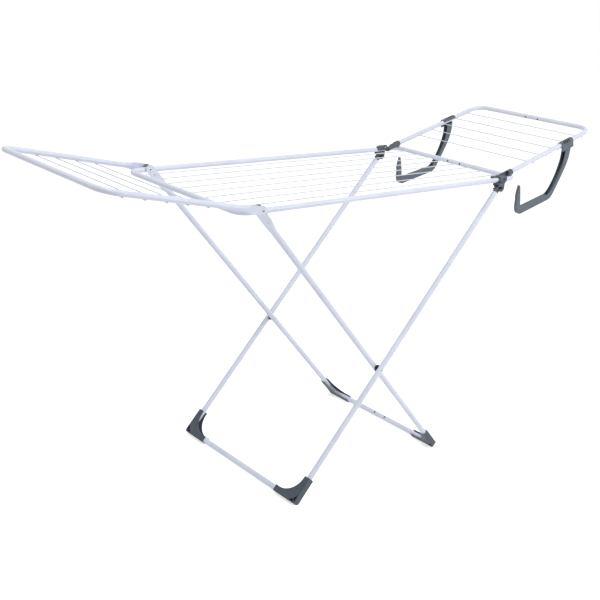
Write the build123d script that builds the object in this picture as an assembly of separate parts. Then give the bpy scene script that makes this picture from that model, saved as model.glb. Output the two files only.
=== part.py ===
from build123d import *
import os
from math import atan2, cos, degrees, hypot, pi, radians, sin, sqrt

# Folding clothes drying rack: steel tube tray with two hinged wings, crossed legs
# and two swinging hook arms.
#
# X runs along the rack (hook end at +X), Y across it, Z up. The design values below are
# given in a working frame whose X = 0 lies midway between the two hinge ends of the tray;
# the finished model is moved so that its origin is the bottom centre of its box.

# ---------------------------------------------------------------- driving dimensions (mm)
TRAY_D = 16.0            # tube of the tray and of both wings
LEG_D = 18.0             # tube of both leg frames
TUBE_WALL = 1.0
WIRE_D = 2.8             # drying wires
SEAM_GAP = 0.4           # butt seam in the middle of a bar

RAIL_Z = 932.0           # height of the tray rails
TRAY_WIDTH = 536.0       # rail to rail, centres
TRAY_RIGHT_X = 541.0     # hook-end cross bar
TRAY_LEFT_X = -609.0     # bow at the other end
TRAY_RIGHT_R = 30.0      # bend radius of the tray at the hook end
TRAY_LEFT_R = 36.0
TRAY_WIRES = 8

HINGE_L_IN = 67.0                # left hinge, in from the bow: leg top, rail and wing on one rivet
HINGE_R_IN = 72.0                # right wing hinge, in from the cross bar
HINGE_UP = 3.0                   # both hinges sit this far above the rails' centre
LEFT_WING_OUTSET = 4.0           # left wing tubes outside the rails
LEFT_WING_LENGTH = 474.0         # hinge to outer bar
LEFT_WING_ANGLE = 11.3           # rest slope
RIGHT_WING_INSET = 10.0          # right wing tubes inside the rails
RIGHT_WING_LENGTH = 517.0
RIGHT_WING_ANGLE = 15.4
RIGHT_WING_FOLD = 149.0          # swing from rest onto the tray
WING_R = 48.0                    # bend radius of both wings
WING_WIRES = 5
LEFT_WIRE_FIRST, LEFT_WIRE_PITCH = 50.0, 62.5      # from the outer bar inwards
RIGHT_WIRE_FIRST, RIGHT_WIRE_PITCH = 61.0, 69.0
WIRE_DROP = 8.8                  # wires are welded under the wing tubes
WIRE_TIP = 6.0                   # and end this far outside the tube centres

LEG_PAIR_GAP = 5.0               # between the crossed legs' tubes
INNER_FOOT = (306.0, 12.0)       # foot bar of the inner leg frame
OUTER_FOOT = (-338.0, 12.0)
LEG_PIN_IN, LEG_PIN_DOWN = 89.0, 23.0   # pin on the outer leg top: in from the cross bar, under the rail
LEG_R = 40.0                     # bend radius of the leg frames

CLEAR = 0.3                      # clearance between bodies
TOUCH = 0.02                     # hairline between curved faces that touch
RUN_GAP = 0.06                   # radial clearance of a pin in its hole
HEAD_GAP = 0.1                   # play under the free head of a rivet
RIVET_D, RIVET_HEAD_D, RIVET_HEAD_T = 6.0, 8.6, 1.8
RIVET_HOLLOW_D, RIVET_HOLLOW = 3.6, 5.0  # tubular rivets: hollow in each end
FLAT_T = 2.4                     # thickness of a flattened tube end
WASHER_T, WASHER_R = 1.8, 12.8   # plastic washers at the left hinge
SPACER_R = 11.0                  # spacer between the crossed legs
SLEEVE_LEN, CRIMP_PITCH = 92.0, 54.0    # sleeve inside a butt joint and its two crimps
WING_FLAT_S, WING_TUBE_S = 42.0, 80.0   # left wing end: flat up to here, round from here
LEG_FLAT_S, LEG_TUBE_S = 62.0, 98.0     # inner leg top: the same
LEG_FLAT_HOLES, SPARE_HOLE_D = (23.0, 57.0), 4.4   # spare holes in the flat leg tops

EYE_R, EYE_T = 8.6, 8.6          # wing end socket: eye on the hinge pin
NECK_H, NECK_S = 6.2, 18.0       # neck from the eye to the sleeve
SOCKET_R, SOCKET_S = 10.6, (14.0, 64.0)
SOCKET_TUBE_S = 47.0             # the tube reaches this far down its sleeve, which is half cut away below
SLEEVE_FULL_S = 42.0
SADDLE_X, SADDLE_WALL, SADDLE_TOP = (-43.0, -11.0), 3.4, 4.9   # clip over the rail, from the hinge
BAND_X, BAND_T = (-21.0, 13.0), 5.4     # band down the rail's outside, from the hinge
PIN_D, PIN_HEAD_D, PIN_GAP = 6.0, 9.0, 0.35
LEG_EYE_R, LEG_EYE_LEN, DECK_GAP = 8.8, 22.0, 0.7
EAR_T, EAR_GAP, EAR_R = 4.0, 0.4, 13.0
SHELF_HALF, MOUTH_FLARE = 13.0, 3.0

CAP_LEG, CAP_BAR = 78.0, 88.0    # reach of a corner cap along the leg and the foot bar
CAP_T, CAP_WALL = 21.4, 1.2      # cap thickness across the frame's plane, and the wall outside the tube
CAP_LIP, CAP_WEB, CAP_CORNER_R = 11.5, 29.0, 9.0     # inner edge: at the ends, in the bend
CAP_POCKET, CAP_POCKET_SOLE, CAP_POCKET_D, CAP_RIB = 2.4, 4.7, 15.0, 2.2

ARM_REACH, ARM_DROP = 257.0, 226.0       # hook arm: clip centre to the hook's back, and to its heel
ARM_W, ARM_TIP_W, ARM_WALL = 18.0, 9.0, 2.6    # its depth across the rack, at the clip and at the tip
GROOVE_SHIFT, GROOVE_END = (-4.5, 3.0), -80.0  # groove in its inner edge, as far as the lower bend
ARM_OUT = 12.0                   # its outer face, outside the wing tube's centre
ARM_TOP = 13.0                   # its body starts this far under the tube's centre
ARM_SHIFT = {"front": 0.0, "back": -24.0}    # arms are clipped on by hand, one nearer the hinge
ARM_CLIP_S, ARM_CLIP_LEN = 364.0, 62.0   # hinge to clip centre, front arm, and the clip's length
CLIP_TOP, CLIP_SKIN = 11.2, 2.6          # clip over the tube: crest above its centre, wall
CLIP_SLOTS, CLIP_SLOT_PITCH, CLIP_SLOT, CLIP_SLOT_DEEP, CLIP_SLOT_LEAN = 4, 9.0, 3.0, 2.2, 25.0
CLIP_TABS = ((-30.5, -25.5), (26.5, 30.5))   # tabs under the tube, clear of the wires
PAST = 400.0                     # length of cutting bodies that run right through a piece

# ---------------------------------------------------------------- derived values
TR, LR = TRAY_D / 2, LEG_D / 2
RAIL_Y = TRAY_WIDTH / 2
HINGE_L = TRAY_LEFT_X + HINGE_L_IN, RAIL_Z + HINGE_UP
HINGE_R = TRAY_RIGHT_X - HINGE_R_IN, RAIL_Z + HINGE_UP
LEG_TOP_PIN = TRAY_RIGHT_X - LEG_PIN_IN, RAIL_Z - LEG_PIN_DOWN
LW_Y, RW_Y = RAIL_Y + LEFT_WING_OUTSET, RAIL_Y - RIGHT_WING_INSET
IN_Y = RAIL_Y - TR - LR
OUT_Y = IN_Y + LEG_D + LEG_PAIR_GAP
SADDLE_Y = RAIL_Y - TR - SADDLE_WALL         # inner face of the saddle
EYE_Y = SADDLE_Y - EAR_GAP - EYE_T, SADDLE_Y - EAR_GAP
BAND_Y = RAIL_Y + TR + BAND_T
SADDLE_Z = RAIL_Z - 2, RAIL_Z + TR + SADDLE_TOP
SIDES = {"front": -1, "back": 1}
LEG_FLAT_Y = RAIL_Y - TR - CLEAR - WASHER_T - FLAT_T / 2
WING_FLAT_Y = RAIL_Y + TR + CLEAR + WASHER_T + FLAT_T / 2


def heading(a, b):
    """Angle in degrees of the line from point a to point b in the X-Z plane."""
    return degrees(atan2(b[1] - a[1], b[0] - a[0]))


def cross_point(a, b, c, d):
    """Where line a-b meets line c-d in the X-Z plane."""
    det = (b[0] - a[0]) * (d[1] - c[1]) - (b[1] - a[1]) * (d[0] - c[0])
    t = ((c[0] - a[0]) * (d[1] - c[1]) - (c[1] - a[1]) * (d[0] - c[0])) / det
    return a[0] + t * (b[0] - a[0]), a[1] + t * (b[1] - a[1])


CROSS = cross_point(HINGE_L, INNER_FOOT, LEG_TOP_PIN, OUTER_FOOT)


def ramp(origin, angle):
    """Plane whose X runs up a slope in the X-Z plane, Y across the rack, Z off the slope."""
    a = radians(angle)
    return Plane(origin=(origin[0], 0, origin[1]), x_dir=(cos(a), 0, sin(a)), z_dir=(-sin(a), 0, cos(a)))


def across(x, z, y0, y1, radius):
    """Round bar along Y from y0 to y1."""
    return Pos(x, (y0 + y1) / 2, z) * Rot(90, 0, 0) * Cylinder(radius, abs(y1 - y0))


def tube(points, radii, outer, inner=None):
    """Bent tube along a polyline with rounded corners; hollow where an inner radius is given."""
    path = FilletPolyline(*points, radius=radii) if len(points) > 2 else Line(*points)
    start = Plane(origin=path @ 0, z_dir=path % 0)
    body = sweep(start * Circle(outer), path=path)
    if inner:
        body -= sweep(start * Circle(inner), path=path)
    return body


def u_frame(width, length, corner, plane, outer, inner, start=0.0):
    """U of tube in the given ramp plane: two sides along +X from start to the bar at length."""
    w = width / 2
    corners = [(start, -w, 0), (length, -w, 0), (length, w, 0), (start, w, 0)]
    return plane * tube(corners, corner, outer, inner)


def rivet(x, z, tight, free, diameter=RIVET_D, head_d=RIVET_HEAD_D, hollow=True):
    """Rivet along Y: one head seats at y = tight, the other sits just clear of y = free."""
    out = 1 if free > tight else -1
    ends = (tight, -out), (free + out * HEAD_GAP, out)
    body = across(x, z, ends[0][0], ends[1][0], diameter / 2)
    head = Cylinder(head_d / 2, RIVET_HEAD_T, align=(Align.CENTER, Align.CENTER, Align.MIN))
    head = chamfer(head.edges().group_by(Axis.Z)[-1], RIVET_HEAD_T * 0.5)
    for y, way in ends:
        body += Pos(x, y, z) * Rot(-90 * way, 0, 0) * head
        if hollow:
            y0 = y - way * (RIVET_HOLLOW - RIVET_HEAD_T)
            body -= across(x, z, y0, y + way * 2 * RIVET_HEAD_T, RIVET_HOLLOW_D / 2)
    return body


def mirror_y(shape):
    return mirror(shape, about=Plane.XZ)


def group(shapes):
    """Several separate solids kept as one piece."""
    return Compound(children=[solid for shape in shapes for solid in shape.solids()])


def both_sides(build):
    """A group holding the back piece and its mirror image at the front."""
    back = build()
    return group([back, mirror_y(back)])


# ---------------------------------------------------------------- tube ends and joints
def flat_end(outer, tube_y, flat_y, tube_s, flat_s, holes=()):
    """End of a side tube squeezed to a strip: round at tube_s, flat from flat_s to beyond the rivet."""
    w = outer * pi - FLAT_T / 2
    round_face = Plane.YZ.offset(tube_s) * Pos(tube_y, 0) * Circle(outer)
    flat_face = Plane.YZ.offset(flat_s) * Pos(flat_y, 0) * Ellipse(FLAT_T / 2, w / 2)
    outline = Pos(flat_s / 2, 0) * Rectangle(flat_s, w) + Circle(w / 2)
    outline -= Circle(RIVET_D / 2 + RUN_GAP)
    for s in holes:
        outline -= Pos(s, 0) * Circle(SPARE_HOLE_D / 2)
    face = Plane(origin=(0, flat_y + FLAT_T / 2, 0), x_dir=(1, 0, 0), z_dir=(0, -1, 0))
    return loft([flat_face, round_face]) + face * extrude(outline, FLAT_T)


def seam(frame, plane, bar_x, outer, toward):
    """Butt joint in the middle of a bar, and the two crimp dimples that hold its sleeve."""
    frame -= plane * Pos(bar_x, 0, 0) * Box(4 * outer, SEAM_GAP, 4 * outer)
    depth = outer + 1.2
    for y in (-CRIMP_PITCH / 2, CRIMP_PITCH / 2):
        frame -= plane * Pos(bar_x + toward[0] * depth, y, toward[1] * depth) * Sphere(2.0)
    return frame


def joint_sleeve(plane, bar_x, outer):
    """Short steel sleeve inside the two ends of a bar."""
    r = outer - TUBE_WALL - TOUCH
    sleeve = Cylinder(r, SLEEVE_LEN) - Cylinder(r - TUBE_WALL, SLEEVE_LEN)
    return plane * Pos(bar_x, 0, 0) * Rot(90, 0, 0) * sleeve


def block(xs, ys, zs, round_r=0.0):
    """Box between limits, its edges along Y rounded."""
    size = [b - a for a, b in (xs, ys, zs)]
    box = Pos(*[(a + b) / 2 for a, b in (xs, ys, zs)]) * Box(*size)
    if round_r:
        box = fillet(box.edges().filter_by(Axis.Y), round_r)
    return box


def turned(shape, centre, angle):
    """Shape turned about a Y axis through centre, anticlockwise as seen from the front."""
    x, z = centre
    return Pos(x, 0, z) * Rot(0, -angle, 0) * Pos(-x, 0, -z) * shape


# ---------------------------------------------------------------- tray
TRAY_PLANE = Plane(origin=(0, 0, RAIL_Z), x_dir=(1, 0, 0), z_dir=(0, 0, 1))


def tray_loop(outer, inner=None):
    """The tray's closed loop, starting and ending in the middle of the hook-end bar."""
    y, tiny = RAIL_Y, 0.01
    loop = [
        (TRAY_RIGHT_X, tiny, 0), (TRAY_RIGHT_X, y, 0), (TRAY_LEFT_X, y, 0),
        (TRAY_LEFT_X, -y, 0), (TRAY_RIGHT_X, -y, 0), (TRAY_RIGHT_X, -tiny, 0),
    ]
    radii = [TRAY_RIGHT_R, TRAY_LEFT_R, TRAY_LEFT_R, TRAY_RIGHT_R]
    return TRAY_PLANE * tube(loop, radii, outer, inner)


def tray_frame():
    frame = seam(tray_loop(TR, TR - TUBE_WALL), TRAY_PLANE, TRAY_RIGHT_X, TR, (0, 1))
    for x, z in (HINGE_L, HINGE_R):
        for side in SIDES.values():
            y = side * RAIL_Y
            frame -= across(x, z, y - 2 * TR, y + 2 * TR, RIVET_D / 2 + RUN_GAP)
    return frame


def tray_joint_sleeve():
    return joint_sleeve(TRAY_PLANE, TRAY_RIGHT_X, TR)


def tray_wires():
    """Straight drying wires, butt welded between the bow and the cross bar."""
    pitch = TRAY_WIDTH / (TRAY_WIRES + 1)
    x0, x1 = TRAY_LEFT_X + TR - 1, TRAY_RIGHT_X - TR + 1
    wire = Pos((x0 + x1) / 2, 0, RAIL_Z) * Rot(0, 90, 0) * Cylinder(WIRE_D / 2, x1 - x0)
    skin = tray_loop(TR + TOUCH)
    return group(Pos(0, -RAIL_Y + pitch * (i + 1), 0) * wire - skin for i in range(TRAY_WIRES))


# ---------------------------------------------------------------- wings
LEFT_PLANE = ramp(HINGE_L, 180 - LEFT_WING_ANGLE)
RIGHT_PLANE = ramp(HINGE_R, RIGHT_WING_ANGLE)


def wing_wires(plane, width, length, first, pitch, drop):
    """Cross wires of a wing, welded under its side tubes."""
    wire = Rot(90, 0, 0) * Cylinder(WIRE_D / 2, width + 2 * WIRE_TIP)
    skin = u_frame(width, length, WING_R, Plane.XY, TR + TOUCH, None)
    return group(
        plane * (Pos(length - first - i * pitch, 0, drop) * wire - skin) for i in range(WING_WIRES))


def left_wing_wires():
    """The left wing's plane has its normal pointing down, so its wires are on the plus side."""
    return wing_wires(
        LEFT_PLANE, 2 * LW_Y, LEFT_WING_LENGTH, LEFT_WIRE_FIRST, LEFT_WIRE_PITCH, WIRE_DROP)


def right_wing_wires():
    return wing_wires(
        RIGHT_PLANE, 2 * RW_Y, RIGHT_WING_LENGTH, RIGHT_WIRE_FIRST, RIGHT_WIRE_PITCH, -WIRE_DROP)


def left_wing_frame():
    frame = u_frame(2 * LW_Y, LEFT_WING_LENGTH, WING_R, LEFT_PLANE, TR, TR - TUBE_WALL, WING_TUBE_S)
    for side in SIDES.values():
        frame += LEFT_PLANE * flat_end(TR, side * LW_Y, side * WING_FLAT_Y, WING_TUBE_S, WING_FLAT_S)
    return frame


def right_wing_frame():
    frame = u_frame(
        2 * RW_Y, RIGHT_WING_LENGTH, WING_R, RIGHT_PLANE, TR, TR - TUBE_WALL, SOCKET_TUBE_S)
    return seam(frame, RIGHT_PLANE, RIGHT_WING_LENGTH, TR, (0, 1))


def right_wing_joint_sleeve():
    return joint_sleeve(RIGHT_PLANE, RIGHT_WING_LENGTH, TR)


def wing_end_socket():
    """Moulded end of the right wing: eye on the hinge pin, neck, and a round sleeve for the tube."""
    eye_mid = sum(EYE_Y) / 2
    along = Align.CENTER, Align.CENTER, Align.MIN
    sleeve = Cylinder(SOCKET_R, SOCKET_S[1] - SOCKET_S[0], align=along)
    sleeve = fillet(sleeve.edges().filter_by(GeomType.CIRCLE), SOCKET_R / 4)
    body = Pos(SOCKET_S[0], RW_Y, 0) * Rot(0, 90, 0) * sleeve
    body -= block((0, SLEEVE_FULL_S), (EYE_Y[1], RW_Y + 2 * SOCKET_R), (-2 * SOCKET_R, 2 * SOCKET_R))
    body += Pos(0, eye_mid, 0) * Rot(90, 0, 0) * Cylinder(EYE_R, EYE_T)
    body += Pos(NECK_S / 2, eye_mid, 0) * Box(NECK_S, EYE_T, 2 * NECK_H)
    body -= Pos(SOCKET_TUBE_S, RW_Y, 0) * Rot(0, 90, 0) * Cylinder(TR + TOUCH, SOCKET_S[1], align=along)
    body -= Pos(0, eye_mid, 0) * Rot(90, 0, 0) * Cylinder(RIVET_D / 2 + RUN_GAP, 2 * EYE_T)
    socket = RIGHT_PLANE * body
    for room in (tray_loop(TR + CLEAR + 0.2), saddle(0.5)):
        socket -= room
        socket -= turned(room, HINGE_R, -RIGHT_WING_FOLD)
    return socket


# ---------------------------------------------------------------- hinge hardware
def washer(y0, y1):
    disc = across(*HINGE_L, y0, y1, WASHER_R)
    return disc - across(*HINGE_L, y0 - 1, y1 + 1, RIVET_D / 2 + RUN_GAP)


def inner_washer():
    face = LEG_FLAT_Y + FLAT_T / 2
    return washer(face, face + WASHER_T)


def outer_washer():
    face = WING_FLAT_Y - FLAT_T / 2
    return washer(face - WASHER_T, face)


def left_hinge_rivet():
    return rivet(*HINGE_L, LEG_FLAT_Y - FLAT_T / 2, WING_FLAT_Y + FLAT_T / 2)


def wing_pivot_pin():
    return rivet(*HINGE_R, BAND_Y, EYE_Y[0], hollow=False)


def leg_cross_rivet():
    return rivet(*CROSS, IN_Y - LR, OUT_Y + LR)


def leg_cross_spacer():
    y0, y1 = IN_Y + LR, OUT_Y - LR - CLEAR
    return across(*CROSS, y0, y1, SPACER_R) - across(*CROSS, y0 - 1, y1 + 1, RIVET_D / 2 + RUN_GAP)


# ---------------------------------------------------------------- rail bracket
DECK_Z = LEG_TOP_PIN[1] + LEG_EYE_R + DECK_GAP


def saddle(grow=0.0):
    """Clip over the rail, on its inner and upper side; grown, it is the room the folded wing must leave."""
    xs = [HINGE_R[0] + x for x in SADDLE_X]
    return block(
        (xs[0] - grow, xs[1] + grow), (SADDLE_Y - grow, RAIL_Y), (SADDLE_Z[0] - grow, SADDLE_Z[1] + grow))


def band():
    """Rounded wall that comes off the saddle and runs down the rail's outside to the ears."""
    xs = [HINGE_R[0] + x for x in BAND_X]
    shoulder = block((xs[0], xs[0] + SADDLE_X[1] - BAND_X[0]), (RAIL_Y - TR, BAND_Y), SADDLE_Z)
    wall = block(xs, (RAIL_Y, BAND_Y), (DECK_Z, SADDLE_Z[1]))
    wall = chamfer(wall.edges().filter_by(Axis.Y).group_by(Axis.Z)[0].group_by(Axis.X)[-1], 2 * BAND_T)
    body = shoulder + wall
    return fillet(body.edges().filter_by(Axis.X).group_by(Axis.Z)[-1].group_by(Axis.Y)[-1], BAND_T * 0.8)


def slot_cut():
    """Mouth that lets the leg pin slide out towards the bow: round seat, then a flare."""
    x, z = LEG_TOP_PIN
    r, reach = PIN_D / 2 + PIN_GAP, 2 * EAR_R
    corners = (x, z + r), (x - reach, z + r + MOUTH_FLARE), (x - reach, z - r - MOUTH_FLARE), (x, z - r)
    room = make_face(Polyline(*corners, close=True)) + Pos(x, z) * Circle(r)
    face = Plane(origin=(0, RAIL_Y + LEG_D * 2, 0), x_dir=(1, 0, 0), z_dir=(0, -1, 0))
    return face * extrude(room, LEG_D * 4)


def rail_bracket():
    """Moulded bracket on the rail: saddle, outer band for the hinge pin, hooked ears for the leg."""
    x, z = LEG_TOP_PIN
    body = saddle() + band()
    inside, outside = OUT_Y - LR - EAR_GAP, OUT_Y + LR + EAR_GAP
    shelf_x = x - SHELF_HALF, x + SHELF_HALF
    body += block(shelf_x, (inside - EAR_T, outside + EAR_T), (DECK_Z, RAIL_Z - TR + 1))
    for y0, y1 in ((inside - EAR_T, inside), (outside, outside + EAR_T)):
        body += across(x, z, y0, y1, EAR_R)
        body += block((x - EAR_R, x + EAR_R), (y0, y1), (z, DECK_Z + 1))
    body -= Pos(HINGE_R[0], RAIL_Y, RAIL_Z) * Rot(0, 90, 0) * Cylinder(TR + TOUCH, PAST)
    body -= across(*HINGE_R, RAIL_Y, BAND_Y + BAND_T, RIVET_D / 2 + RUN_GAP)
    return body - slot_cut()


# ---------------------------------------------------------------- legs
INNER_LEN = hypot(HINGE_L[0] - INNER_FOOT[0], HINGE_L[1] - INNER_FOOT[1])
OUTER_LEN = hypot(LEG_TOP_PIN[0] - OUTER_FOOT[0], LEG_TOP_PIN[1] - OUTER_FOOT[1])
INNER_PLANE = ramp(HINGE_L, heading(HINGE_L, INNER_FOOT))
OUTER_PLANE = ramp(LEG_TOP_PIN, heading(LEG_TOP_PIN, OUTER_FOOT))


def pivot_holes(frame, y):
    for side in SIDES.values():
        frame -= across(*CROSS, side * (y - 2 * LR), side * (y + 2 * LR), RIVET_D / 2 + RUN_GAP)
    return frame


def inner_leg_frame():
    frame = u_frame(2 * IN_Y, INNER_LEN, LEG_R, INNER_PLANE, LR, LR - TUBE_WALL, LEG_TUBE_S)
    for side in SIDES.values():
        y, flat_y = side * IN_Y, side * LEG_FLAT_Y
        frame += INNER_PLANE * flat_end(LR, y, flat_y, LEG_TUBE_S, LEG_FLAT_S, LEG_FLAT_HOLES)
    frame = seam(frame, INNER_PLANE, INNER_LEN, LR, (-1, 0))
    return pivot_holes(frame, IN_Y)


def inner_foot_joint_sleeve():
    return joint_sleeve(INNER_PLANE, INNER_LEN, LR)


def outer_leg_frame():
    frame = u_frame(2 * OUT_Y, OUTER_LEN, LEG_R, OUTER_PLANE, LR, LR - TUBE_WALL, LEG_EYE_LEN)
    return pivot_holes(frame, OUT_Y)


def leg_top_plug():
    """Moulded end plug of the outer leg: rounded eye for the pin, stem inside the tube."""
    along = Align.CENTER, Align.CENTER, Align.MIN
    body = Rot(90, 0, 0) * Cylinder(LEG_EYE_R, 2 * LR - 0.4)
    body += Rot(0, 90, 0) * Cylinder(LEG_EYE_R, LEG_EYE_LEN, align=along)
    body += Rot(0, 90, 0) * Cylinder(LR - TUBE_WALL - TOUCH, LEG_EYE_LEN + 22, align=along)
    body -= Rot(90, 0, 0) * Cylinder(PIN_D / 2 + TOUCH, 4 * LR)
    return OUTER_PLANE * Pos(0, OUT_Y, 0) * body


def leg_top_pin():
    reach = LR + EAR_GAP + EAR_T + CLEAR
    return rivet(*LEG_TOP_PIN, OUT_Y - reach, OUT_Y + reach, PIN_D, PIN_HEAD_D, hollow=False)


def cap_outline(edge):
    """Side view of a corner cap: square outside, hollowed out along the bend inside."""
    outer = Polyline(
        (CAP_LIP, CAP_LEG), (-edge, CAP_LEG), (-edge, -edge), (CAP_BAR, -edge), (CAP_BAR, CAP_LIP))
    inner = ThreePointArc((CAP_BAR, CAP_LIP), (CAP_WEB, CAP_WEB), (CAP_LIP, CAP_LEG))
    outline = make_face(outer + inner)
    return fillet(outline.vertices().sort_by_distance((-edge, -edge, 0))[0], CAP_CORNER_R)


def cap_pocket(edge):
    """Room between the bend and the square corner, split by a rib on the diagonal."""
    size = LEG_R + edge
    low = Pos(-edge + CAP_POCKET, -edge + CAP_POCKET_SOLE)
    room = low * Rectangle(size, size, align=(Align.MIN, Align.MIN))
    room -= Pos(LEG_R, LEG_R) * Circle(LEG_R + LR + CAP_POCKET)
    room = room.faces().sort_by_distance((-edge, -edge, 0))[0]
    room -= Rot(0, 0, 45) * Rectangle(4 * size, CAP_RIB)
    return Pos(0, 0, CAP_T / 2 - CAP_POCKET_D) * extrude(room, CAP_T)


def corner_cap(foot, top, frame_y):
    """Moulded cap on a foot corner: a channel round the outside of the bend, open on its inside."""
    a = radians(heading(foot, top))
    plane = Plane(origin=(foot[0], frame_y, foot[1]), x_dir=(0, -1, 0), z_dir=(-sin(a), 0, cos(a)))
    edge, bend, far = LR + CAP_WALL, LEG_R * (1 - sqrt(0.5)), CAP_BAR + CAP_WEB
    body = extrude(cap_outline(edge), CAP_T / 2, both=True)
    line = Line((far, 0), (LEG_R, 0)) + ThreePointArc((LEG_R, 0), (bend, bend), (0, LEG_R))
    line += Polyline((0, LEG_R), (0, far), (far, far), (far, 0))
    body -= extrude(make_face(line), LR + TOUCH, both=True)
    body -= tube([(far, 0, 0), (0, 0, 0), (0, far, 0)], LEG_R, LR + TOUCH)
    body -= cap_pocket(edge)
    return plane * body - Pos(foot[0], frame_y, 0) * block(
        (-PAST, PAST), (-PAST, PAST), (-PAST, 0))


def inner_foot_cap():
    return corner_cap(INNER_FOOT, HINGE_L, IN_Y)


def outer_foot_cap():
    return corner_cap(OUTER_FOOT, LEG_TOP_PIN, OUT_Y)


# ---------------------------------------------------------------- hook arms
def arm_outline():
    """Side view of a hook arm from its clip's centre, in parts of its reach and its drop."""
    def at(*points):
        return [(ARM_REACH * x, ARM_DROP * z) for x, z in points]

    top, bend, heel, nose = (0.07, 0.06), (-0.3, -0.865), (-0.84, -1.01), (-0.955, -0.57)
    point, notch, elbow, throat = (-0.945, -0.58), (-0.89, -0.906), (-0.305, -0.781), (-0.023, 0.03)
    back = Spline(*at(top, (0.058, -0.252), (-0.045, -0.504), (-0.185, -0.775), bend),
                  tangents=[(0.1, -1), (-1, -0.25)])
    hook = Line(*at(bend, heel)) + Spline(
        *at(heel, (-0.953, -0.955), (-0.973, -0.78), nose), tangents=[(-1, -0.25), (0.25, 1)])
    tip = Line(*at(nose, point)) + Spline(*at(point, (-0.91, -0.74), notch), tangents=[(0.3, -1), (0, -1)])
    front = Line(*at(notch, elbow)) + Spline(
        *at(elbow, (-0.23, -0.719), (-0.1, -0.481), (-0.037, -0.268), throat), tangents=[(1, 0.25), (0.05, 1)])
    return make_face(back + hook + tip + front + Line(*at(throat, top)))


def clip_section():
    """Section of the snap clip: outer wall, ribbed top and a short inner lip round the tube."""
    bore = TR + CLEAR
    lip = -bore - CLIP_SKIN
    outer = ThreePointArc((ARM_OUT, 3), (CLIP_SKIN / 2, CLIP_TOP), (lip, 2))
    edge = Polyline((lip, 2), (0, 2), (0, -6), (bore, -6), (bore, -ARM_TOP - bore),
                    (ARM_OUT, -ARM_TOP - bore), (ARM_OUT, 3))
    return make_face(outer + edge) - Circle(bore)


def clip_tab(x0, x1):
    """Tab that reaches under the tube from the outer wall."""
    bore = TR + CLEAR
    ring = Cylinder(bore + CLIP_SKIN, x1 - x0) - Cylinder(bore + 2 * TOUCH, x1 - x0)
    quarter = block((x0 - 1, x1 + 1), (1, bore + 1), (-2 * bore, -3))
    return (Pos((x0 + x1) / 2, 0, 0) * Rot(0, 90, 0) * ring) & quarter


def arm_depth():
    """Plan of a hook arm's depth: even down to the lower bend, then thinner towards the tip."""
    inner = ARM_OUT - ARM_W
    corners = ((ARM_REACH, 2 * ARM_OUT), (-2 * ARM_REACH, 2 * ARM_OUT), (-2 * ARM_REACH, ARM_OUT - ARM_TIP_W),
               (-ARM_REACH, ARM_OUT - ARM_TIP_W), (GROOVE_END, inner), (ARM_REACH, inner))
    plan = make_face(Polyline(*corners, close=True))
    return Pos(0, 0, -2 * ARM_DROP) * extrude(plan, 4 * ARM_DROP)


def hook_arm(shift):
    """Hook arm with its snap clip; the clip is open on the inner side of the tube."""
    centre = RIGHT_PLANE * Pos(ARM_CLIP_S + shift, RW_Y, 0)
    at = centre.position
    side = Plane(origin=(0, ARM_OUT, 0), x_dir=(1, 0, 0), z_dir=(0, -1, 0))
    arm = extrude(arm_outline(), ARM_W)
    groove = Pos(0, 0, ARM_WALL) * extrude(Pos(*GROOVE_SHIFT) * arm_outline(), ARM_W - 2 * ARM_WALL)
    arm -= groove & block((GROOVE_END, ARM_REACH), (-2 * ARM_DROP, ARM_DROP), (-ARM_W, 2 * ARM_W))
    arm = Pos(at.X, RW_Y, at.Z) * (side * arm & arm_depth())
    over = ARM_CLIP_LEN * 2
    arm -= centre * block((-over, over), (-over, over), (-ARM_TOP, over))
    clip = Plane.YZ.offset(-ARM_CLIP_LEN / 2) * extrude(clip_section(), ARM_CLIP_LEN)
    for i in range(CLIP_SLOTS):
        x = CLIP_SLOT_PITCH * (i - (CLIP_SLOTS - 1) / 2)
        clip -= Pos(x, 0, CLIP_TOP) * Rot(0, 0, CLIP_SLOT_LEAN) * Box(CLIP_SLOT, 2 * ARM_OUT, 2 * CLIP_SLOT_DEEP)
    for ends in CLIP_TABS:
        clip += clip_tab(*ends)
    return arm + centre * clip


# ---------------------------------------------------------------- assembly
PIECES = {
    "tray_frame": tray_frame(),
    "tray_joint_sleeve": tray_joint_sleeve(),
    "tray_wires": tray_wires(),
    "left_wing_frame": left_wing_frame(),
    "left_wing_wires": left_wing_wires(),
    "right_wing_frame": right_wing_frame(),
    "right_wing_joint_sleeve": right_wing_joint_sleeve(),
    "right_wing_wires": right_wing_wires(),
    "wing_end_socket_back": wing_end_socket(),
    "wing_pivot_pins": both_sides(wing_pivot_pin),
    "rail_bracket_back": rail_bracket(),
    "inner_leg_frame": inner_leg_frame(),
    "inner_foot_joint_sleeve": inner_foot_joint_sleeve(),
    "outer_leg_frame": outer_leg_frame(),
    "inner_foot_cap_back": inner_foot_cap(),
    "outer_foot_cap_back": outer_foot_cap(),
    "leg_cross_rivets": both_sides(leg_cross_rivet),
    "leg_cross_spacers": both_sides(leg_cross_spacer),
    "leg_top_plug_back": leg_top_plug(),
    "leg_top_pins": both_sides(leg_top_pin),
    "left_hinge_rivets": both_sides(left_hinge_rivet),
    "left_hinge_inner_washers": both_sides(inner_washer),
    "left_hinge_outer_washers": both_sides(outer_washer),
    "hook_arm_back": hook_arm(ARM_SHIFT["back"]),
    "hook_arm_front": mirror_y(hook_arm(ARM_SHIFT["front"])),
}
for name in ("wing_end_socket", "rail_bracket", "inner_foot_cap", "outer_foot_cap", "leg_top_plug"):
    PIECES[name + "_front"] = mirror_y(PIECES[name + "_back"])

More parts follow.
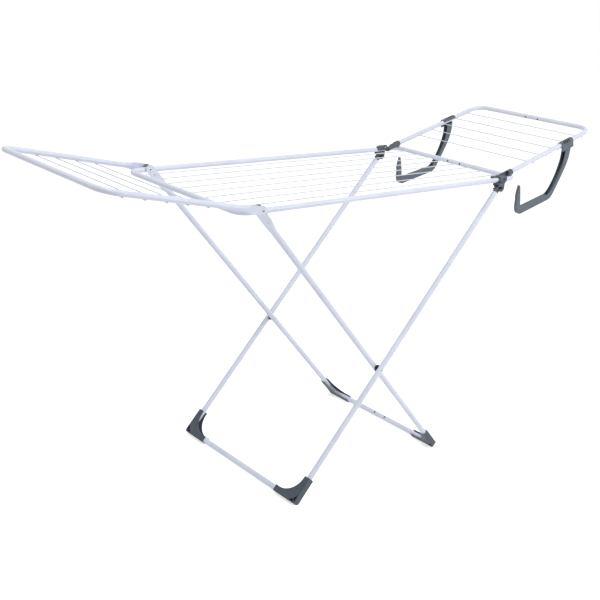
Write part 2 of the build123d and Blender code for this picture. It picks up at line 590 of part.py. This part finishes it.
box = Compound(children=[solid for piece in PIECES.values() for solid in piece.solids()]).bounding_box()
to_origin = Pos(-(box.min.X + box.max.X) / 2, -(box.min.Y + box.max.Y) / 2, -box.min.Z)
os.makedirs("parts", exist_ok=True)
for name, piece in sorted(PIECES.items()):
    export_step(to_origin * piece, f"parts/{name}.step")
print("box", box.min, box.max)
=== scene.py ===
# %% [markdown]
# # A folding clothes drying rack
# The rack is a wire tray on crossed legs, with a wing at each end and two plastic hook arms.
# Its tubes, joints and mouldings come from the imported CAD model, which this script loads as a
# fixed frame. The lesson is about finish: powder coat, zinc, moulded plastic, weld beads, and a
# plain studio that shows them. Everything is in metres, with Z up.

# %% Load the frame
import math
import random

import bmesh
import bpy
from mathutils import Matrix, Vector


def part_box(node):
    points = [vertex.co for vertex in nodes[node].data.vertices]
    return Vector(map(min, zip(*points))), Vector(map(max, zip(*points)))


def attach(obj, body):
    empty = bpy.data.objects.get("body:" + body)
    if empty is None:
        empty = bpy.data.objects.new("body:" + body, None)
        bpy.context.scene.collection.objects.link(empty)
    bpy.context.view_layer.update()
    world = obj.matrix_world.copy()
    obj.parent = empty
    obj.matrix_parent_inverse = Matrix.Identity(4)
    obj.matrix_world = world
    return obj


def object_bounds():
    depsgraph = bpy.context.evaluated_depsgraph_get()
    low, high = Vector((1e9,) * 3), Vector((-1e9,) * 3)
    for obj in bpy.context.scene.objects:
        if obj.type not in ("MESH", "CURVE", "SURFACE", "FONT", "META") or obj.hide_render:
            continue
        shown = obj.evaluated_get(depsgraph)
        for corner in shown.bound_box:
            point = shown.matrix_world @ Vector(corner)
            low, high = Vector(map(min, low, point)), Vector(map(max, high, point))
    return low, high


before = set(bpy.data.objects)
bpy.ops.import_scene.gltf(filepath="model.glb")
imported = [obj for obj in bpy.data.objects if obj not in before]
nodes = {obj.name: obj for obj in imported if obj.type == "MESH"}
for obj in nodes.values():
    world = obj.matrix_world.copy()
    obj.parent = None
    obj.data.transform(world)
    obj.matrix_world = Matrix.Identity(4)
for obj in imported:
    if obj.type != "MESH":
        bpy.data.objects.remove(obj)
cad_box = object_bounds()
box_corners = [tuple(round(v, 4) for v in corner) for corner in cad_box]
print(len(nodes), "pieces from CAD, box", box_corners)

# %% [markdown]
# ## Where the CAD put things
# The CAD file has its own X = 0 under the tray, and then moves the rack so that its box is
# centred. The same shift is read back here from the tray's own box.

# %% The shift along X
TRAY_ENDS_X = (-0.617, 0.549)
TRAY_MID_X = sum(TRAY_ENDS_X) / 2
tray_low, tray_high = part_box("tray_frame")
SHIFT_X = (tray_low.x + tray_high.x) / 2 - TRAY_MID_X
print("shift along X", round(SHIFT_X, 5), "m")


def spot(x, y, z):
    """A place given in the CAD file's millimetres, in the frame's metres."""
    return Vector((x / 1000 + SHIFT_X, y / 1000, z / 1000))


# %% [markdown]
# ## Marks on the metal
# Three bars are closed by a butt seam with a sleeve inside, and a punch has crimped each bar twice
# beside its seam. The leg tops have two spare holes each. The rivets of a hinge lie on one line
# from front to back, so one place stands for both.

# %% Key places on the rack
HINGE_X, HINGE_Z = -542.0, 935.0
HINGE_RIVET = spot(HINGE_X, 0.0, HINGE_Z)
CROSS_RIVET = spot(-3.12, 0.0, 369.89)

CROSS_BAR_CRIMPS = [spot(533.1, y, 933.2) for y in (-35.5, 19.0)]
WING_BAR_CRIMPS = [spot(959.6, y, 1069.6) for y in (-31.5, 22.5)]
FOOT_BAR_CRIMPS = [spot(299.9, y, 18.6) for y in (-27.0, 23.0)]
SEAM_CRIMPS = CROSS_BAR_CRIMPS + WING_BAR_CRIMPS + FOOT_BAR_CRIMPS

LEG_TOP_Y = 256.7
SPARE_HOLE_XZ = ((-526.4, 918.1), (-503.4, 893.0))
SPARE_HOLES = [spot(x, y, z) for x, z in SPARE_HOLE_XZ for y in (-LEG_TOP_Y, LEG_TOP_Y)]
print(len(SEAM_CRIMPS), "crimps and", len(SPARE_HOLES), "spare holes")


# %% [markdown]
# ## Helpers for node materials
# Every finish here is a small tree: object coordinates feed noise, the noise nudges colour and
# roughness, and a finer noise makes a bump. Object coordinates stay with a piece when it moves,
# and need no unwrapping, so one recipe works on tubes, wires and mouldings alike.

# %% A material, noise and colour
def new_material(name):
    """A material with an empty tree, its surface shader and its object coordinates."""
    material = bpy.data.materials.new(name)
    material.use_nodes = True
    tree = material.node_tree
    tree.nodes.clear()
    output = tree.nodes.new("ShaderNodeOutputMaterial")
    shader = tree.nodes.new("ShaderNodeBsdfPrincipled")
    tree.links.new(shader.outputs["BSDF"], output.inputs["Surface"])
    coords = tree.nodes.new("ShaderNodeTexCoord").outputs["Object"]
    return material, tree, shader, coords


def noise(tree, coords, scale, detail=3.0, roughness=0.55):
    """Noise of a given scale; its values run from about 0.3 to 0.7."""
    node = tree.nodes.new("ShaderNodeTexNoise")
    node.inputs["Scale"].default_value = scale
    node.inputs["Detail"].default_value = detail
    node.inputs["Roughness"].default_value = roughness
    tree.links.new(coords, node.inputs["Vector"])
    return node.outputs["Fac"]


def ramp(tree, value, low, high, stops):
    """Colour ramp between two values of the input."""
    node = tree.nodes.new("ShaderNodeValToRGB")
    node.color_ramp.elements[0].position = low
    node.color_ramp.elements[1].position = high
    for element, colour in zip(node.color_ramp.elements, stops):
        element.color = (*colour, 1.0)
    tree.links.new(value, node.inputs["Fac"])
    return node.outputs["Color"]


def spread(tree, value, out_low, out_high, in_low=0.3, in_high=0.7):
    """Maps the noise's range to a range of numbers."""
    node = tree.nodes.new("ShaderNodeMapRange")
    node.inputs["From Min"].default_value = in_low
    node.inputs["From Max"].default_value = in_high
    node.inputs["To Min"].default_value = out_low
    node.inputs["To Max"].default_value = out_high
    tree.links.new(value, node.inputs["Value"])
    return node.outputs["Result"]


def bump(tree, height, distance, strength, under=None):
    """Bump from a height; under is the normal of a coarser bump below it."""
    node = tree.nodes.new("ShaderNodeBump")
    node.inputs["Distance"].default_value = distance
    node.inputs["Strength"].default_value = strength
    tree.links.new(height, node.inputs["Height"])
    if under:
        tree.links.new(under, node.inputs["Normal"])
    return node.outputs["Normal"]


def within(tree, coords, places, radius, axes=(1.0, 1.0, 1.0)):
    """1 within a radius of any of the places, 0 elsewhere; an axis of 0 isn't measured."""
    scaled = tree.nodes.new("ShaderNodeVectorMath")
    scaled.operation = "MULTIPLY"
    scaled.inputs[1].default_value = axes
    tree.links.new(coords, scaled.inputs[0])
    mask = None
    for place in places:
        gap, near = tree.nodes.new("ShaderNodeVectorMath"), tree.nodes.new("ShaderNodeMath")
        gap.operation, near.operation = "DISTANCE", "LESS_THAN"
        gap.inputs[1].default_value = place * Vector(axes)
        near.inputs[1].default_value = radius
        tree.links.new(scaled.outputs["Vector"], gap.inputs[0])
        tree.links.new(gap.outputs["Value"], near.inputs[0])
        if mask:
            either = tree.nodes.new("ShaderNodeMath")
            either.operation = "MAXIMUM"
            tree.links.new(mask, either.inputs[0])
            tree.links.new(near.outputs["Value"], either.inputs[1])
            near = either
        mask = near.outputs["Value"]
    return mask


def blended(tree, colour, other, factor):
    """The colour, turning into the other one where the factor nears 1."""
    node = tree.nodes.new("ShaderNodeMix")
    node.data_type = "RGBA"
    node.inputs["B"].default_value = (*other, 1.0)
    tree.links.new(colour, node.inputs["A"])
    tree.links.new(factor, node.inputs["Factor"])
    return node.outputs["Result"]


def lighten(colour, factor):
    """The colour, lighter with a factor above 1 and darker below."""
    return tuple(min(1.0, c * factor) for c in colour)


def cloudy(tree, coords, scale, detail, span, colour, darker, lighter):
    """A colour that drifts between a darker and a lighter tone of itself."""
    tones = (lighten(colour, darker), lighten(colour, lighter))
    return ramp(tree, noise(tree, coords, scale, detail), *span, tones)


def patchy_gloss(tree, coords, scale, rough, under, over):
    """Roughness that drifts a little under and over its plain value."""
    return spread(tree, noise(tree, coords, scale), rough - under, rough + over)


print("helpers ready")


# %% [markdown]
# ## White powder coat
# The tubes are steel, sprayed with powder and baked. Real powder coat isn't one flat white: it
# flows into a faint orange peel, it is a little thinner and greyer on the underside of bends, and
# handling leaves slightly glossier patches. A coarse noise shifts the colour, a second one the
# gloss, and a fine one gives the peel. Where a punch has crimped a bar onto its sleeve, the dent
# is given painted shade: a dark colour in a small round patch.

# %% Powder coat
TUBE_WHITE = (0.705, 0.74, 0.865)
WIRE_WHITE = (0.66, 0.69, 0.77)
# Dark colour painted as shade in the crimp dents.
CRIMP_PAINTED_SHADE = (0.055, 0.055, 0.065)
CRIMP_REACH = 0.0036
PEEL_DEPTH, PEEL_GRAIN_DEPTH = 0.0004, 0.0001
CLEAR_FILM, CLEAR_FILM_ROUGH = 0.12, 0.18


def powder_coat(name, colour, rough, peel, crimps=()):
    """Baked powder coat, with painted shade in the dents at the crimps."""
    material, tree, shader, coords = new_material(name)
    shade = cloudy(tree, coords, 9.0, 3.0, (0.35, 0.65), colour, 0.95, 1.035)
    # Painted shade: a dark patch in each crimp dent.
    if crimps:
        shade = blended(tree, shade, CRIMP_PAINTED_SHADE, within(tree, coords, crimps, CRIMP_REACH))
    tree.links.new(shade, shader.inputs["Base Color"])
    tree.links.new(patchy_gloss(tree, coords, 31.0, rough, 0.05, 0.07), shader.inputs["Roughness"])
    coarse = bump(tree, noise(tree, coords, 240.0, 2.0), PEEL_DEPTH, peel)
    fine = bump(tree, noise(tree, coords, 1400.0, 2.0), PEEL_GRAIN_DEPTH, peel * 0.6, coarse)
    tree.links.new(fine, shader.inputs["Normal"])
    shader.inputs["Coat Weight"].default_value = CLEAR_FILM
    shader.inputs["Coat Roughness"].default_value = CLEAR_FILM_ROUGH
    return material


tube_coat = powder_coat("white_powder_coat", TUBE_WHITE, 0.36, 0.10, SEAM_CRIMPS)
wire_coat = powder_coat("white_wire_coat", WIRE_WHITE, 0.42, 0.06)
print("made", tube_coat.name, "and", wire_coat.name)


# %% [markdown]
# ## Moulded plastic
# Hinges, hook arms, foot caps and washers are injection mouldings. Their mould is spark eroded, so
# the skin has a fine even grain that spreads highlights, and the colour is through the material.
# Rubbed places go slightly lighter, which a sparse noise gives.

# %% Moulded plastic
SLATE_ARM = (0.105, 0.127, 0.152)
SLATE_HINGE = (0.082, 0.098, 0.112)
DARK_CAP = (0.062, 0.078, 0.098)
PIN_BLACK = (0.012, 0.013, 0.015)
WASHER_GREY_GREEN = (0.20, 0.24, 0.225)
# Black for painted shade.
UNLIT = (0.006, 0.006, 0.007)
GRAIN_DEPTH = 0.00012


def moulded(name, colour, rough, rub=1.35, shine=0.42, grain=0.22):
    """Moulded plastic; rub is how much lighter its worn patches are."""
    material, tree, shader, coords = new_material(name)
    base = cloudy(tree, coords, 42.0, 4.0, (0.38, 0.66), colour, 0.9, 1.1)
    worn = spread(tree, noise(tree, coords, 17.0, 6.0, 0.7), 0.0, 0.5, 0.55, 0.75)
    tree.links.new(blended(tree, base, lighten(colour, rub), worn), shader.inputs["Base Color"])
    tree.links.new(patchy_gloss(tree, coords, 60.0, rough, 0.06, 0.08), shader.inputs["Roughness"])
    skin = bump(tree, noise(tree, coords, 2100.0, 2.0), GRAIN_DEPTH, grain)
    tree.links.new(skin, shader.inputs["Normal"])
    shader.inputs["Specular IOR Level"].default_value = shine
    return material


arm_plastic = moulded("slate_arm_plastic", SLATE_ARM, 0.5)
hinge_plastic = moulded("slate_hinge_plastic", SLATE_HINGE, 0.46)
cap_plastic = moulded("dark_cap_plastic", DARK_CAP, 0.5)
black_plastic = moulded("black_plastic", PIN_BLACK, 0.4, rub=1.8)
washer_plastic = moulded("grey_green_washer_plastic", WASHER_GREY_GREEN, 0.5)
# A flat black with little sheen, used as painted shade in the spare holes and the clip slots.
painted_shade = moulded("black_painted_shade", UNLIT, 0.9, rub=1.2, shine=0.05)
print("made six plastics")


# %% [markdown]
# ## Zinc plated steel
# Rivets and the sleeves inside the butt joints are zinc plated: a bluish grey metal with a faint
# cloudiness, because the plating crystals differ from spot to spot. The rivets are tubular, and
# their bores get painted shade: a dark colour, with no metal, for the shade inside them.

# %% Zinc
ZINC_TONES = (0.50, 0.51, 0.53), (0.68, 0.69, 0.70)
# The bores' dark colour is painted shade.
BORE_REACH, BORE_PAINTED_SHADE = 0.0025, (0.02, 0.02, 0.022)
ACROSS_RIVET = (1.0, 0.0, 1.0)


def zinc_plate(name, bores=()):
    """Zinc plating, with painted shade inside bores that run along Y."""
    material, tree, shader, coords = new_material(name)
    cloud = ramp(tree, noise(tree, coords, 130.0, 5.0), 0.3, 0.7, ZINC_TONES)
    shader.inputs["Metallic"].default_value = 1.0
    # Painted shade in the bores: dark, and not metallic.
    if bores:
        bore_painted_shade = within(tree, coords, bores, BORE_REACH, ACROSS_RIVET)
        cloud = blended(tree, cloud, BORE_PAINTED_SHADE, bore_painted_shade)
        tree.links.new(spread(tree, bore_painted_shade, 1.0, 0.0, 0.0, 1.0), shader.inputs["Metallic"])
    tree.links.new(cloud, shader.inputs["Base Color"])
    tree.links.new(spread(tree, noise(tree, coords, 320.0), 0.28, 0.48), shader.inputs["Roughness"])
    tree.links.new(bump(tree, noise(tree, coords, 900.0), 0.0001, 0.25), shader.inputs["Normal"])
    return material


zinc = zinc_plate("zinc_plated_sleeves")
rivet_zinc = zinc_plate("zinc_plated_rivets", (HINGE_RIVET, CROSS_RIVET))
print("made", zinc.name, "and", rivet_zinc.name)


# %% [markdown]
# ## Dress the CAD pieces
# A CAD piece whose shape is right keeps its mesh and gets a finish. The mapping goes by the first
# words of the piece's name, so the front and back of a pair always match.

# %% Finishes by piece
FINISH = {
    "tray_wires": wire_coat,
    "left_wing_wires": wire_coat,
    "right_wing_wires": wire_coat,
    "tray_joint_sleeve": zinc,
    "right_wing_joint_sleeve": zinc,
    "inner_foot_joint_sleeve": zinc,
    "tray_frame": tube_coat,
    "left_wing_frame": tube_coat,
    "right_wing_frame": tube_coat,
    "inner_leg_frame": tube_coat,
    "outer_leg_frame": tube_coat,
    "hook_arm": arm_plastic,
    "rail_bracket": hinge_plastic,
    "wing_end_socket": hinge_plastic,
    "leg_top_plug": hinge_plastic,
    "inner_foot_cap": cap_plastic,
    "outer_foot_cap": cap_plastic,
    "wing_pivot_pins": black_plastic,
    "leg_top_pins": black_plastic,
    "leg_cross_spacers": black_plastic,
    "left_hinge_inner_washers": washer_plastic,
    "left_hinge_outer_washers": washer_plastic,
    "leg_cross_rivets": rivet_zinc,
    "left_hinge_rivets": rivet_zinc,
}


def finish_for(name):
    """The finish whose key is the longest one that the name starts with."""
    keys = [key for key in FINISH if name.startswith(key)]
    return FINISH[max(keys, key=len)]


for name, piece in nodes.items():
    piece.data.materials.clear()
    piece.data.materials.append(finish_for(name))
print("dressed", len(nodes), "CAD pieces")

# %% [markdown]
# ## A piece that rides along
# What the CAD model lacks is drawn as a mesh here. Each such piece is told which body carries it,
# so that it moves with that body, and it gets its finish as its one material.

# %% Add a piece
def add_piece(name, shape, body, finish, smooth=False):
    """Turns a drawn shape into a piece on one of the rack's bodies."""
    mesh = bpy.data.meshes.new(name)
    shape.to_mesh(mesh)
    shape.free()
    if smooth:
        mesh.shade_smooth()
    mesh.materials.append(finish)
    piece = bpy.data.objects.new(name, mesh)
    bpy.context.scene.collection.objects.link(piece)
    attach(piece, body)
    print(name, "rides on", body, "with", len(mesh.polygons), "faces")


# %% [markdown]
# ## Lumps
# A weld leaves a small bead that fills the corner between wire and tube, and the coat runs over
# it. No bead is quite like its neighbour, so one ball of facets is squeezed, turned into place and
# nudged at random, from a fixed seed so that every run draws the same beads.

# %% Lumps on metal
BEAD_CHANCE = random.Random(7)


def lumps(name, body, seats, size, finish):
    """One piece of lumps; a seat is a centre, the lump's first axis and the way off the metal."""
    beads = bmesh.new()
    for centre, along, off in seats:
        turn = Matrix((along, off.cross(along), off)).transposed().to_4x4()
        swell = BEAD_CHANCE.uniform(0.88, 1.12)
        shape = Matrix.Diagonal((*(swell * v for v in size), 1.0))
        place = Matrix.Translation(centre) @ turn @ shape
        made = bmesh.ops.create_icosphere(beads, subdivisions=2, radius=1.0, matrix=place)
        for vert in made["verts"]:
            vert.co += (vert.co - centre) * BEAD_CHANCE.uniform(-0.07, 0.07)
    add_piece(name, beads, body, finish, smooth=True)


# %% [markdown]
# ## Weld beads of the tray
# A tray wire ends against the bow at one end and the cross bar at the other, so it has two beads.
# The wires share the width between the rails evenly.

# %% Tray beads
TRAY_BEAD = (0.0030, 0.0029, 0.0027)
RAIL_HEIGHT, RAIL_Y, TRAY_WIRES = 932.0, 268.0, 8
WIRE_ENDS_X = (-601.0, 533.0)
LENGTHWISE, UPRIGHT, SIDEWAYS = Vector((1, 0, 0)), Vector((0, 0, 1)), Vector((0, 1, 0))

tray_pitch = 2 * RAIL_Y / (TRAY_WIRES + 1)
tray_wire_ys = [-RAIL_Y + tray_pitch * (number + 1) for number in range(TRAY_WIRES)]
tray_seats = [(spot(x, y, RAIL_HEIGHT), LENGTHWISE, UPRIGHT) for y in tray_wire_ys for x in WIRE_ENDS_X]
lumps("tray_weld_beads", "tray", tray_seats, TRAY_BEAD, wire_coat)


# %% [markdown]
# ## Weld beads of the wings
# A wing wire passes under both side tubes, with a flat bead at each. The two wings differ in
# slope, width and length. Distances run from the hinge along the wing.

# %% Wing beads
WING_BEAD = (0.0030, 0.0060, 0.0018)
UNDER_TUBE = 0.0081
WING_WIRES = 5
RIGHT_HINGE_X, RIGHT_TUBE_Y, RIGHT_SLOPE = 469.0, 258.0, 15.4


def wing_seats(hinge_x, way, slope, tube_y, length, first, pitch):
    """Seats under both side tubes of a wing, at each wire; way is 1 or -1 along X."""
    angle = math.radians(slope)
    along = Vector((way * math.cos(angle), 0.0, math.sin(angle)))
    down = Vector((way * math.sin(angle), 0.0, -math.cos(angle)))
    hinges = [spot(hinge_x, y, HINGE_Z) for y in (-tube_y, tube_y)]
    spots = [length - first - pitch * number for number in range(WING_WIRES)]
    return [(hinge + along * s + down * UNDER_TUBE, along, down) for s in spots for hinge in hinges]


left_seats = wing_seats(HINGE_X, -1, 11.3, 272.0, 0.474, 0.050, 0.0625)
right_seats = wing_seats(RIGHT_HINGE_X, 1, RIGHT_SLOPE, RIGHT_TUBE_Y, 0.517, 0.061, 0.069)
lumps("left_wing_weld_beads", "left_wing", left_seats, WING_BEAD, wire_coat)
lumps("right_wing_weld_beads", "right_wing", right_seats, WING_BEAD, wire_coat)


# %% [markdown]
# ## Spare holes
# The punch that made the spare holes went through the inner wall of the squeezed leg top only. A
# hole is dark from inside the rack, as it lies in shade, and the outer wall is whole. The CAD holes
# go through, so a flat black lump of painted shade closes each one, with a white one just outside it.

# %% Painted shade and outer walls of the spare holes
HOLE_LUMP_SIZE = (0.0023, 0.0023, 0.0005)
OUTER_WALL = 0.0006

hole_seats = [(place, LENGTHWISE, SIDEWAYS) for place in SPARE_HOLES]
# Painted shade: a flat black lump in each spare hole.
lumps("spare_hole_painted_shade", "inner_legs", hole_seats, HOLE_LUMP_SIZE, painted_shade)
outward = [SIDEWAYS * math.copysign(OUTER_WALL, place.y) for place in SPARE_HOLES]
wall_seats = [(place + out, LENGTHWISE, SIDEWAYS) for place, out in zip(SPARE_HOLES, outward)]
lumps("spare_hole_walls", "inner_legs", wall_seats, HOLE_LUMP_SIZE, tube_coat)


# %% [markdown]
# ## Slots in the arm clips
# The clip of each hook arm has four slanted slots over its crest, which let it snap over the
# tube. They stay dark, as little light gets in, and that dark is painted shade: a black strip lies
# a little down in each slot and runs out, wider and a little proud, on the clip's flank, where the
# slot gets shallow. The clip's outside is nearly an arc about the tube, so a strip is a row of
# four-cornered rings along that arc. A turn of 90 degrees is the crest, and a smaller one is further
# out.

# %% Slot sizes
CLIP_ARC_Y, CLIP_ARC_Z, CLIP_ARC_R = 0.000689, -0.000679, 0.011894
CLIP_SLOTS, SLOT_PITCH, SLOT_LEAN = 4, 0.009, math.tan(math.radians(25.0))
SLOT_TURNS = (118.0, 100.0, 84.0, 72.0, 64.0, 56.0, 48.0, 40.0, 30.0, 22.0)
FLANK_TURN = 68.0
LIFT_IN_SLOT, HALF_IN_SLOT = -0.0005, 0.0016
LIFT_ON_FLANK, HALF_ON_FLANK = 0.00015, 0.0020
STRIP_THICKNESS = 0.0005
print(CLIP_SLOTS, "slots, leaning", round(math.degrees(math.atan(SLOT_LEAN)), 1), "degrees")


# %% Painted slot shades
def strip_corners(turn):
    """A strip's four corners at one turn: across it, outwards and up from the tube's centre."""
    out, up = math.cos(math.radians(turn)), math.sin(math.radians(turn))
    in_slot = turn > FLANK_TURN
    lift, half = (LIFT_IN_SLOT, HALF_IN_SLOT) if in_slot else (LIFT_ON_FLANK, HALF_ON_FLANK)
    low = lift - STRIP_THICKNESS
    for across, depth in ((-half, lift), (half, lift), (half, low), (-half, low)):
        reach = CLIP_ARC_R + depth
        yield across, CLIP_ARC_Y + reach * out, CLIP_ARC_Z + reach * up


def slot_shades(name, body, side, along):
    """Strips of painted shade across one clip, this far along the wing; side is -1 at the front, 1 at
    the back.
    """
    angle = math.radians(RIGHT_SLOPE)
    wing = Vector((math.cos(angle), 0, math.sin(angle)))
    off = Vector((-wing.z, 0, wing.x))
    centre = spot(RIGHT_HINGE_X, RIGHT_TUBE_Y * side, HINGE_Z) + wing * along
    strips = bmesh.new()
    for number in range(CLIP_SLOTS):
        middle = SLOT_PITCH * (number - (CLIP_SLOTS - 1) / 2)
        rings = []
        for turn in SLOT_TURNS:
            ring = []
            for across, y, z in strip_corners(turn):
                x = middle - y * SLOT_LEAN + across
                ring.append(strips.verts.new(centre + wing * x + off * z + SIDEWAYS * (side * y)))
            rings.append(ring)
        for one, following in zip(rings, rings[1:]):
            for k in range(4):
                n = (k + 1) % 4
                strips.faces.new((one[k], one[n], following[n], following[k]))
        strips.faces.new(rings[0])
        strips.faces.new(rings[-1])
    bmesh.ops.recalc_face_normals(strips, faces=strips.faces)
    # The strips are painted shade, in flat black.
    add_piece(name, strips, body, painted_shade)


slot_shades("clip_slot_shades_front", "hook_arm_front", -1, 0.364)
slot_shades("clip_slot_shades_back", "hook_arm_back", 1, 0.340)


# %% [markdown]
# ## Studio
# A white surround, as in a catalogue. It shows white to the camera and in reflections, but lights
# the rack at a plain level, so that a colour renders about as it is written.

# %% Surround
WHITE = (1.0, 1.0, 1.0)
WORLD_LIGHT = 0.50


def shown_rays(tree):
    """1 for the rays that show the surround: straight to the camera, mirrored or through glass."""
    path = tree.nodes.new("ShaderNodeLightPath")
    seen = path.outputs["Is Camera Ray"]
    for ray in ("Is Glossy Ray", "Is Transmission Ray"):
        either = tree.nodes.new("ShaderNodeMath")
        either.operation = "MAXIMUM"
        tree.links.new(seen, either.inputs[0])
        tree.links.new(path.outputs[ray], either.inputs[1])
        seen = either.outputs["Value"]
    return seen


def white_world():
    world = bpy.data.worlds.new("studio_surround")
    bpy.context.scene.world = world
    world.use_nodes = True
    tree = world.node_tree
    tree.nodes.clear()
    output = tree.nodes.new("ShaderNodeOutputWorld")
    mix = tree.nodes.new("ShaderNodeMixShader")
    lit, shown = (tree.nodes.new("ShaderNodeBackground") for _ in range(2))
    lit.inputs["Color"].default_value = (*WHITE, 1.0)
    lit.inputs["Strength"].default_value = WORLD_LIGHT
    shown.inputs["Color"].default_value = (*WHITE, 1.0)
    tree.links.new(shown_rays(tree), mix.inputs["Fac"])
    tree.links.new(lit.outputs["Background"], mix.inputs[1])
    tree.links.new(shown.outputs["Background"], mix.inputs[2])
    tree.links.new(mix.outputs["Shader"], output.inputs["Surface"])


white_world()
print("surround ready, lighting at", WORLD_LIGHT)


# %% [markdown]
# ## Floor
# A pale, matt floor keeps the rack's shadow. It gives off a little light of its own to the camera
# and to reflections only, so that it runs into the white surround.

# %% Floor
FLOOR_WHITE = 0.93
FLOOR_LIFT = 0.62
FLOOR_HALF = 14.0


def studio_floor():
    """A square floor that belongs to the studio and not to the rack."""
    mesh = bpy.data.meshes.new("studio_floor")
    ways = ((-1, -1), (1, -1), (1, 1), (-1, 1))
    mesh.from_pydata([(x * FLOOR_HALF, y * FLOOR_HALF, 0) for x, y in ways], [], [(0, 1, 2, 3)])
    floor = bpy.data.objects.new("studio_floor", mesh)
    bpy.context.scene.collection.objects.link(floor)
    material, tree, shader, coords = new_material("pale_floor")
    tone = lighten(WHITE, FLOOR_WHITE)
    shade = cloudy(tree, coords, 1.7, 3.0, (0.3, 0.7), tone, 0.995, 1.0)
    tree.links.new(shade, shader.inputs["Base Color"])
    shader.inputs["Roughness"].default_value = 0.9
    shader.inputs["Specular IOR Level"].default_value = 0.1
    lift, both = tree.nodes.new("ShaderNodeEmission"), tree.nodes.new("ShaderNodeAddShader")
    strength = spread(tree, shown_rays(tree), 0.0, FLOOR_LIFT, 0.0, 1.0)
    tree.links.new(strength, lift.inputs["Strength"])
    tree.links.new(shader.outputs["BSDF"], both.inputs[0])
    tree.links.new(lift.outputs["Emission"], both.inputs[1])
    tree.links.new(both.outputs["Shader"], tree.nodes["Material Output"].inputs["Surface"])
    mesh.materials.append(material)


studio_floor()
print("floor ready, lifted by", FLOOR_LIFT)


# %% [markdown]
# ## Lamps
# Two large soft lamps give the tubes their shape: one low in front, one high over the tray.

# %% Lamps
LAMP_ACROSS = 2.4


def soft_lamp(name, place, aim, power):
    """A round lamp that shines from a place towards a point on the rack."""
    lamp = bpy.data.lights.new(name, "AREA")
    lamp.shape = "DISK"
    lamp.size = LAMP_ACROSS
    lamp.energy = power
    holder = bpy.data.objects.new(name, lamp)
    holder.location = place
    holder.rotation_euler = (Vector(aim) - Vector(place)).to_track_quat("-Z", "Y").to_euler()
    bpy.context.scene.collection.objects.link(holder)


soft_lamp("key_lamp", (1.9, -3.4, 1.7), (0.0, 0.0, 0.6), 43.0)
soft_lamp("top_lamp", (-0.8, -0.6, 4.2), (0.0, 0.0, 0.7), 64.0)
print("two lamps of", LAMP_ACROSS, "m")

# %% [markdown]
# ## Camera
# The rack is seen from its front left, a little above tray height. Yaw, pitch and roll are turned
# into the camera's own axes, which is clearer than stacking Euler angles.

# %% Camera
YAW, PITCH, ROLL = (math.radians(v) for v in (-43.0501, -17.2732, 4.7736))
EYE = Vector((-2.1245 + SHIFT_X, -2.1801, 1.5552))
FOCAL_PX, CENTRE_PX, FRAME_PX, SENSOR_MM = 980.468, (312.806, 269.690), 600, 36.0
camera_data = bpy.data.cameras.new("camera")
camera = bpy.data.objects.new("camera", camera_data)
bpy.context.scene.collection.objects.link(camera)
look = Vector((-math.sin(YAW) * math.cos(PITCH), math.cos(YAW) * math.cos(PITCH), math.sin(PITCH)))
level = Vector((math.cos(YAW), math.sin(YAW), 0.0))
above = level.cross(look)
right = math.cos(ROLL) * level + math.sin(ROLL) * above
up = -math.sin(ROLL) * level + math.cos(ROLL) * above
axes = Matrix((right, up, -look)).transposed().to_4x4()
camera.matrix_world = Matrix.Translation(EYE) @ axes
camera_data.sensor_width = SENSOR_MM
camera_data.lens = FOCAL_PX / FRAME_PX * SENSOR_MM
camera_data.shift_x = (FRAME_PX / 2 - CENTRE_PX[0]) / FRAME_PX
camera_data.shift_y = (CENTRE_PX[1] - FRAME_PX / 2) / FRAME_PX
camera_data.clip_start, camera_data.clip_end = 0.05, 60.0
bpy.context.scene.camera = camera
bpy.context.scene.view_settings.view_transform = "Standard"
print("lens", round(camera_data.lens, 2), "mm")
